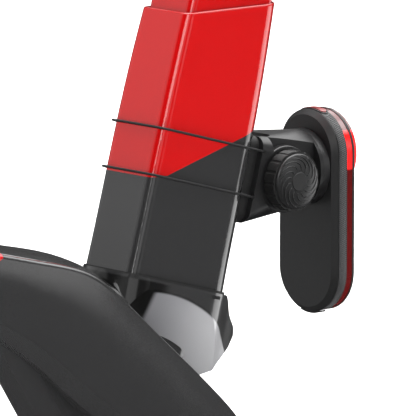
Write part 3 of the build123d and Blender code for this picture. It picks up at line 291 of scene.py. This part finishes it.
# the flash's lower edge runs down and forward from its rear end
flash_low = (back - FLASH_END) * FLASH_SLOPE + FLASH_HIGH
above = over(along_axis(place, "Z") - flash_low, 0.0, FLASH_EDGE)
flash = above * (1 - over(back, FLASH_END, FLASH_TIP))
feed(frame_shader, "Base Color", blend_colours(flash, grey_lacquer(place), red_lacquer(place)))
vary_gloss(frame_shader, place, GLOSS_LEAST, GLOSS_SPREAD, GLOSS_PATCH)
raise_grain(frame_shader, place, PEEL_DEPTH, PEEL_SIZE)
coat_nodes(frame_paint, "frame_yoke", "seat_tube")

# ---------------------------------------------------------------- nacelle round the mast's foot
# A lacquered carbon fairing, bonded into the moulding. Its lower facets carry a light grey painted
# reflection up to a curved crease, brighter to the rear; the gap in front is near black painted
# shade.
# Painted reflection: the lower facets are coloured light grey, dim at the front and brighter to the
# rear.
REFLECTION_GREY = (0.36, 0.36, 0.37, 1)
REFLECTION_GREY_DIM = (0.16, 0.16, 0.17, 1)
SHADE = (0.003, 0.003, 0.003, 1)
LEAN = radians(15.5)  # of the seat tube's axis
CREASE_TURN = 79.0 * MM  # radius of the crease, seen from the side
CREASE_EDGE = 1.2 * MM
CREASE_BEHIND = -8.0 * MM  # its centre, behind the seat tube's axis
CREASE_UP = 20.5 * MM  # and up that axis
REFLECTION_FRONT = -15.0 * MM
REFLECTION_EDGE = 4 * MM
REFLECTION_FADE = 10 * MM
REFLECTION_FADE_SOFT = 50 * MM
GAP_FRONT = REFLECTION_FRONT + 6 * MM
GAP_SOFT = 8 * MM
GAP_TOP = 102.5 * MM
GAP_EDGE = 1 * MM
nacelle_paint, nacelle_shader, place = new_finish("nacelle_paint", 0.3, coat=1.0, specular=0.2)
back = along_axis(place, "X")
up = along_axis(place, "Z")
rear = back * cos(LEAN) - up * sin(LEAN)
along = back * sin(LEAN) + up * cos(LEAN)
behind = rear - CREASE_BEHIND
above = along - CREASE_UP
turn = place.node("ShaderNodeMath", {"operation": "SQRT"}, {0: behind * behind + above * above})
# the painted reflection covers the facets below the crease and behind its front edge
facet = 1 - over(turn, CREASE_TURN - CREASE_EDGE, CREASE_EDGE)
facet = facet * over(rear, REFLECTION_FRONT, REFLECTION_EDGE)
# the painted reflection brightens from its dim front tone to its bright rear tone
painted_reflection = blend_colours(over(rear, REFLECTION_FADE, REFLECTION_FADE_SOFT), REFLECTION_GREY_DIM, REFLECTION_GREY)
# Painted shade: the fairing in front of the facets, below the rim, is coloured near black where the
# gap beside the strut lies in shadow.
painted_shade_gap = (1 - over(rear, GAP_FRONT, GAP_SOFT)) * (1 - over(along, GAP_TOP, GAP_EDGE))
upper = blend_colours(painted_shade_gap, grey_lacquer(place), SHADE)
feed(nacelle_shader, "Base Color", blend_colours(facet, upper, painted_reflection))
raise_grain(nacelle_shader, place, PEEL_DEPTH, PEEL_SIZE)
coat_nodes(nacelle_paint, "nacelle")

# ---------------------------------------------------------------- seat mast
# The mast is a painted carbon tube: red above, dark grey below. The line between them is level
# in front and climbs to the rear.
SPLIT_LOW = 152 * MM
SPLIT_TURN = 21 * MM
SPLIT_CLIMB = tan(radians(15.9))
SPLIT_EDGE = 0.3 * MM
mast_paint, mast_shader, place = new_finish(
    "mast_paint", 0.3, coat=1.0, coat_roughness=0.02, specular=0.1
)
past_turn = along_axis(place, "X") - SPLIT_TURN
climb = place.node("ShaderNodeMath", {"operation": "MAXIMUM"}, {0: past_turn, 1: 0.0})
above = over(along_axis(place, "Z") - climb * SPLIT_CLIMB, SPLIT_LOW, SPLIT_EDGE)
feed(mast_shader, "Base Color", blend_colours(above, grey_lacquer(place), red_lacquer(place)))
vary_gloss(mast_shader, place, GLOSS_LEAST, GLOSS_SPREAD, GLOSS_PATCH)
raise_grain(mast_shader, place, PEEL_DEPTH, PEEL_SIZE)
coat_nodes(mast_paint, "seat_mast")

# ---------------------------------------------------------------- seat post
# The post is the same red lacquer, with fine scratches down it from sliding in the mast. The
# clamping wedge holds it.
SCRATCH_SIZE = 0.8 * MM
SCRATCH_DEPTH = 0.001 * MM
SCRATCH_STRETCH = 0.02
post_paint, post_shader, place = new_finish("post_paint", 0.3, coat=1.0, specular=0.1)
feed(post_shader, "Base Color", red_lacquer(place))
drawn_out = place.node(
    "ShaderNodeMapping", None, {"Vector": place, "Scale": (1, 1, SCRATCH_STRETCH)}
)
vary_gloss(post_shader, drawn_out, 0.2, 0.08, SCRATCH_SIZE, 4.0)
raise_grain(post_shader, drawn_out, SCRATCH_DEPTH, SCRATCH_SIZE, 4.0)
coat_nodes(post_paint, "seat_post")

# ---------------------------------------------------------------- rubber seal, pad, gasket and flap
# Moulded rubber: a seal in the nacelle's rim, a pad under the light's bracket, the light's gasket
# and its port cover. All have a dull skin with a fine grain.
RUBBER = (0.006, 0.006, 0.006, 1)
RUBBER_DUSTY = (0.013, 0.013, 0.013, 1)
rubber, rubber_shader, place = new_finish("rubber", 0.6, specular=0.4)
mottle(rubber_shader, place, RUBBER, RUBBER_DUSTY, 3 * MM, 5.0)
vary_gloss(rubber_shader, place, 0.5, 0.2, 1 * MM, 4.0)
raise_grain(rubber_shader, place, 0.03 * MM, 0.3 * MM, 3.0)
coat_nodes(rubber, "mast_seal", "mount_pad", "housing_gasket", "port_cover")

# ---------------------------------------------------------------- clamp parts in anodised alloy
# The post's head, the saddle clamp and the wedge are forged and turned from aluminium, blasted
# and anodised black. Patches have worn a little brighter.
ANODISED = (0.020, 0.020, 0.022, 1)
ANODISED_WORN = (0.050, 0.050, 0.054, 1)
WEAR_START = 0.62
WEAR_SOFT = 0.2
anodised, anodised_shader, place = new_finish("anodised_alloy", 0.4, metallic=0.7)
wear = over(noise(place, 4 * MM, 6.0), WEAR_START, WEAR_SOFT)
feed(anodised_shader, "Base Color", blend_colours(wear, ANODISED, ANODISED_WORN))
vary_gloss(anodised_shader, place, 0.3, 0.2, 0.8 * MM, 3.0)
raise_grain(anodised_shader, place, 0.02 * MM, 0.25 * MM)
coat_nodes(
    anodised, "post_head", "wedge_lower", "wedge_upper", "tilt_barrel", "rail_cradles",
    "rail_clamps",
)

# ---------------------------------------------------------------- screws, bolts and port shell
# Plated steel, uneven in gloss. The fasteners screw into the alloy and plastic parts, and the
# charging port's folded shell is soldered to the circuit board.
STEEL = (0.38, 0.38, 0.39, 1)
STEEL_DULL = (0.26, 0.26, 0.27, 1)
steel, steel_shader, place = new_finish("plated_steel", 0.3, metallic=1.0)
mottle(steel_shader, place, STEEL, STEEL_DULL, 2 * MM, 4.0)
vary_gloss(steel_shader, place, 0.2, 0.25, 0.5 * MM, 3.0)
raise_grain(steel_shader, place, 0.01 * MM, 0.2 * MM)
coat_nodes(
    steel, "wedge_bolt", "clamp_bolt", "clamp_nut", "socket_screws", "axle_screw",
    "board_screws", "usb_port",
)

# ---------------------------------------------------------------- lace
# A thin round lace of black polyester, braided round a core. It goes round the mast and is pulled
# tight by the dial's spool; raised cells stand for the strands, with painted shade between them.
BRAID_SHADED_HOLLOW = (0.006, 0.006, 0.006, 1)
BRAID_STRAND_CROWN = (0.020, 0.020, 0.021, 1)
STRAND = 0.45 * MM
STRAND_DEPTH = 0.12 * MM
lace_braid, lace_shader, place = new_finish("lace_braid", 0.65, specular=0.3)
weave = place.node(
    "ShaderNodeTexVoronoi", None, {"Vector": place, "Scale": 1 / STRAND, "Randomness": 0.35}
)
# Painted shade: each cell is lighter at its raised centre and darker towards its sunken edge.
feed(lace_shader, "Base Color", blend_colours(weave, BRAID_STRAND_CROWN, BRAID_SHADED_HOLLOW))
raise_bumps(lace_shader, 1 - weave, STRAND_DEPTH)
coat_nodes(lace_braid, "lace")

# ---------------------------------------------------------------- bracket, guide, mount and dial
# Injection-moulded black nylon with glass fibre: a dull sheen and a spark-eroded grain. The
# bracket sits on its pad against the mast, and the dial and twist mount are screwed to it.
NYLON = (0.0065, 0.0065, 0.0068, 1)
NYLON_PALE = (0.012, 0.012, 0.0125, 1)
nylon, nylon_shader, place = new_finish("black_nylon", 0.34, specular=0.55)
mottle(nylon_shader, place, NYLON, NYLON_PALE, 1.2 * MM, 5.0)
vary_gloss(nylon_shader, place, 0.27, 0.12, 0.9 * MM, 4.0)
raise_grain(nylon_shader, place, 0.02 * MM, 0.22 * MM, 3.0)
coat_nodes(
    nylon, "mount_bracket", "lace_guide", "twist_socket", "dial_base", "ratchet_ring",
    "dial_spool", "dial_knob", "pawl_disc", "button_switch",
)

# ---------------------------------------------------------------- dial's face
# Curved ridges are moulded on the knob's crown. They start at the cap and sweep out to the rim.
RIDGES = 14
RIDGE_START = 5.4 * MM
RIDGE_END = 12.3 * MM
RIDGE_SWEEP = radians(62)
RIDGE_WIDTH = 0.55 * MM
RIDGE_HEIGHT = 0.28 * MM
RIDGE_SINK = 0.05 * MM
RIDGE_STEPS = 14
CROWN_OUT = 27.0 * MM
CROWN_DROP = 1.25 * MM
BAR_FACETS = 6
BAR_END_HEIGHT = 0.3  # share of its full height


def bar_along(build, points, normals, width, height):
    """Adds a low rounded bar along points, standing up along the normals, to a mesh."""
    rings = []
    for number, (point, normal) in enumerate(zip(points, normals)):
        before = points[max(number - 1, 0)]
        after = points[min(number + 1, len(points) - 1)]
        side = (after - before).cross(normal).normalized()
        tall = height * BAR_END_HEIGHT if number in (0, len(points) - 1) else height
        angles = [pi * facet / BAR_FACETS for facet in range(BAR_FACETS + 1)]
        rings.append([
            build.verts.new(point + side * (cos(angle) * width / 2) + normal * (sin(angle) * tall))
            for angle in angles
        ])
    for first, second in zip(rings, rings[1:]):
        for a, b, c, d in zip(first, first[1:], second[1:], second):
            build.faces.new((a, b, c, d))
        build.faces.new((first[-1], first[0], second[0], second[-1]))
    build.faces.new(rings[0])
    build.faces.new(rings[-1][::-1])


def mesh_piece(name, build, body, material):
    """Makes a piece from a mesh being built: it rides on a body and has one finish."""
    bmesh.ops.recalc_face_normals(build, faces=build.faces)
    mesh = bpy.data.meshes.new(name)
    build.to_mesh(mesh)
    build.free()
    mesh.shade_smooth()
    mesh.materials.append(material)
    piece = bpy.data.objects.new(name, mesh)
    bpy.context.collection.objects.link(piece)
    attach(piece, body)


knob_low, knob_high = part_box("dial_knob")
dial_x = (knob_low[0] + knob_high[0]) / 2
dial_z = (knob_low[2] + knob_high[2]) / 2
build = bmesh.new()
for ridge in range(RIDGES):
    points = []
    for step in range(RIDGE_STEPS + 1):
        share = step / RIDGE_STEPS
        radius = RIDGE_START + (RIDGE_END - RIDGE_START) * share
        angle = 2 * pi * ridge / RIDGES + RIDGE_SWEEP * share * share
        out = CROWN_OUT - CROWN_DROP * (radius / RIDGE_END) ** 4
        points.append(Vector((
            dial_x + radius * cos(angle), RIDGE_SINK - out, dial_z + radius * sin(angle)
        )))
    bar_along(build, points, [Vector((0, -1, 0))] * len(points), RIDGE_WIDTH, RIDGE_HEIGHT)
mesh_piece("dial_ridges", build, "knob", nylon)

# ---------------------------------------------------------------- knob's grip and cap
# The grip is a softer rubber moulded over the knob, with a finger groove at each flute. The cap
# is a plain satin disc pressed into the crown.
SATIN = (0.0085, 0.0085, 0.0088, 1)
SATIN_PALE = (0.013, 0.013, 0.0135, 1)
coat_nodes(rubber, "knob_grip")
satin, satin_shader, place = new_finish("satin_black", 0.5, specular=0.45)
mottle(satin_shader, place, SATIN, SATIN_PALE, 2 * MM, 5.0)
vary_gloss(satin_shader, place, 0.42, 0.14, 0.7 * MM, 4.0)
raise_grain(satin_shader, place, 0.01 * MM, 0.16 * MM)
coat_nodes(satin, "dial_cap")

# ---------------------------------------------------------------- light's housing
# The light's shell is moulded in fine satin black plastic. Slanting ribs round its band give grip
# and stop short of the button and the charging port; their lighter grey is a painted highlight.
RIB_PITCH = 0.95 * MM
RIB_SLANT = 1.5 * MM
RIB_WIDTH = 0.5 * MM
RIB_HEIGHT = 0.3 * MM
RIB_MARGIN = 0.35 * MM
RIB_SINK = 0.03 * MM
RIB_STEPS = 3
BUTTON_ROOM = 9.5 * MM
PORT_ROOM = 8.5 * MM
# Painted highlight: the ribs are coloured several times lighter than the satin band, in two
# drifting tones.
RIB_PAINTED_HIGHLIGHT = (0.045, 0.045, 0.046, 1)
RIB_PAINTED_HIGHLIGHT_PALE = (0.075, 0.075, 0.077, 1)
coat_nodes(satin, "back_cover", "housing_band", "rear_frame", "button_rim")
band_low, band_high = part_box("housing_band")
end_radius = (band_high[1] - band_low[1]) / 2
low_centre = band_low[2] + end_radius
high_centre = band_high[2] - end_radius
straight = high_centre - low_centre
half_turn = pi * end_radius
around = 2 * (straight + half_turn)


def on_outline(distance):
    """(y, z) and outward normal at a distance round the light's outline, from its lower left."""
    distance %= around
    if distance < straight:
        return (-end_radius, low_centre + distance), (-1, 0)
    distance -= straight
    if distance < half_turn:
        angle = pi - distance / end_radius
        centre = high_centre
    elif distance < half_turn + straight:
        return (end_radius, high_centre + half_turn - distance), (1, 0)
    else:
        angle = (half_turn + straight - distance) / end_radius
        centre = low_centre
    outward = (cos(angle), sin(angle))
    return (end_radius * outward[0], centre + end_radius * outward[1]), outward


# the ribs' finish carries their painted highlight
rib_highlight_finish, rib_shader, place = new_finish("rib_painted_highlight", 0.45)
mottle(rib_shader, place, RIB_PAINTED_HIGHLIGHT, RIB_PAINTED_HIGHLIGHT_PALE, 3 * MM, 5.0)
raise_grain(rib_shader, place, 0.01 * MM, 0.2 * MM)
build = bmesh.new()
for rib in range(round(around / RIB_PITCH)):
    points = []
    normals = []
    for step in range(RIB_STEPS + 1):
        share = step / RIB_STEPS
        (y, z), (normal_y, normal_z) = on_outline(rib * RIB_PITCH + RIB_SLANT * share)
        x = band_low[0] + RIB_MARGIN + (band_high[0] - band_low[0] - 2 * RIB_MARGIN) * share
        points.append(Vector((x, y - normal_y * RIB_SINK, z - normal_z * RIB_SINK)))
        normals.append(Vector((0, normal_y, normal_z)))
    middle = points[1]
    near_button = middle.z > high_centre and abs(middle.y) < BUTTON_ROOM
    near_port = middle.z < low_centre and abs(middle.y) < PORT_ROOM
    if not near_button and not near_port:
        bar_along(build, points, normals, RIB_WIDTH, RIB_HEIGHT)
mesh_piece("band_ribs", build, "light", rib_highlight_finish)

# ---------------------------------------------------------------- light's red lenses
# Translucent red plastic, lit from inside: the main lens and its ring, and the light guide round
# the side, which is brightest beside the main lens. They snap in behind the band.
RED_DARK = (0.085, 0.002, 0.002, 1)
RED_LIT = (0.95, 0.010, 0.010, 1)
GLOW_DARK = (0.01, 0, 0, 1)
GLOW_LIT = (0.9, 0.01, 0.01, 1)
GLOW_POWER = 0.25
WINDOW_LOW = 143.5 * MM
WINDOW_HIGH = 161.5 * MM
WINDOW_EDGE = 1.6 * MM
PRISM = 1.2 * MM
PRISM_DEPTH = 0.05 * MM
lit_red, lit_shader, place = new_finish("lit_red_lens", 0.16, coat=0.6)
up = along_axis(place, "Z")
window = over(up, WINDOW_LOW, WINDOW_EDGE) * (1 - over(up, WINDOW_HIGH, WINDOW_EDGE))
feed(lit_shader, "Base Color", blend_colours(window, RED_DARK, RED_LIT))
feed(lit_shader, "Emission Color", blend_colours(window, GLOW_DARK, GLOW_LIT))
lit_shader.inputs["Emission Strength"].default_value = GLOW_POWER
prisms = place.node("ShaderNodeTexVoronoi", None, {"Vector": place, "Scale": 1 / PRISM})
raise_bumps(lit_shader, prisms, PRISM_DEPTH)
coat_nodes(lit_red, "side_light_guide", "main_lens", "lens_bezel")

# ---------------------------------------------------------------- power button
# A soft red button in the top of the band, moulded in dull translucent plastic. It presses the
# switch under it and springs back.
BUTTON_RED = (0.30, 0.004, 0.004, 1)
button_red, button_shader, place = new_finish("button_red", 0.3, coat=0.3)
mottle(button_shader, place, BUTTON_RED, RED_DARK, 1.5 * MM, 4.0)
raise_grain(button_shader, place, 0.02 * MM, 0.3 * MM)
coat_nodes(button_red, "power_button")

# ---------------------------------------------------------------- light's tail panel
# A smoked red window over the row of small diodes, with fine upright flutes behind its face, paler
# on their crests and darker in their grooves as painted shade. It is glued into the rear frame.
SMOKED_SHADED_GROOVE = (0.030, 0.0015, 0.0015, 1)
SMOKED_LIT_CREST = (0.075, 0.002, 0.002, 1)
FLUTE = 0.9 * MM
FLUTE_DEPTH = 0.06 * MM
smoked, smoked_shader, place = new_finish("smoked_red", 0.12, coat=0.8)
flutes = place.node(
    "ShaderNodeMath", {"operation": "PINGPONG"}, {0: along_axis(place, "Y") + 1.0, 1: FLUTE}
) * (1 / FLUTE)
# Painted shade: the colour follows the flutes' bumps, paler on the crests and darker in the
# grooves.
feed(smoked_shader, "Base Color", blend_colours(flutes, SMOKED_SHADED_GROOVE, SMOKED_LIT_CREST))
raise_bumps(smoked_shader, flutes, FLUTE_DEPTH)
coat_nodes(smoked, "tail_panel")

# ---------------------------------------------------------------- inside the light
# A metallised reflector, a green circuit board with its diodes, and the lithium cell in its
# shrunk wrap. The board is screwed into the shell.
BRIGHT = (0.8, 0.8, 0.8, 1)
BRIGHT_DULL = (0.7, 0.7, 0.72, 1)
reflector, reflector_shader, place = new_finish("bright_reflector", 0.1, metallic=1.0)
mottle(reflector_shader, place, BRIGHT, BRIGHT_DULL, 2 * MM)
raise_grain(reflector_shader, place, 0.02 * MM, 0.8 * MM)
coat_nodes(reflector, "reflector")

BOARD_GREEN = (0.012, 0.10, 0.035, 1)
BOARD_DEEP = (0.010, 0.075, 0.028, 1)
TRACK_GREEN = (0.05, 0.20, 0.08, 1)
TRACKS_PER_METRE = 260.0
board, board_shader, place = new_finish("circuit_board", 0.4, coat=0.4)
feed(board_shader, "Base Color", place.node("ShaderNodeTexBrick", None, {
    "Vector": place, "Scale": TRACKS_PER_METRE, "Color1": BOARD_GREEN, "Color2": BOARD_DEEP,
    "Mortar": TRACK_GREEN,
}))
raise_grain(board_shader, place, 0.01 * MM, 0.6 * MM)
coat_nodes(board, "circuit_board")

PHOSPHOR = (0.85, 0.75, 0.35, 1)
PHOSPHOR_PALE = (0.9, 0.85, 0.6, 1)
diode, diode_shader, place = new_finish("diode_phosphor", 0.3, coat=0.5)
mottle(diode_shader, place, PHOSPHOR, PHOSPHOR_PALE, 0.4 * MM)
raise_grain(diode_shader, place, 0.01 * MM, 0.3 * MM)
coat_nodes(diode, "leds")

WRAP_BLUE = (0.20, 0.24, 0.30, 1)
WRAP_PALE = (0.28, 0.32, 0.36, 1)
wrap, wrap_shader, place = new_finish("cell_wrap", 0.35)
mottle(wrap_shader, place, WRAP_BLUE, WRAP_PALE, 3 * MM, 5.0)
raise_grain(wrap_shader, place, 0.06 * MM, 2 * MM)
coat_nodes(wrap, "battery")
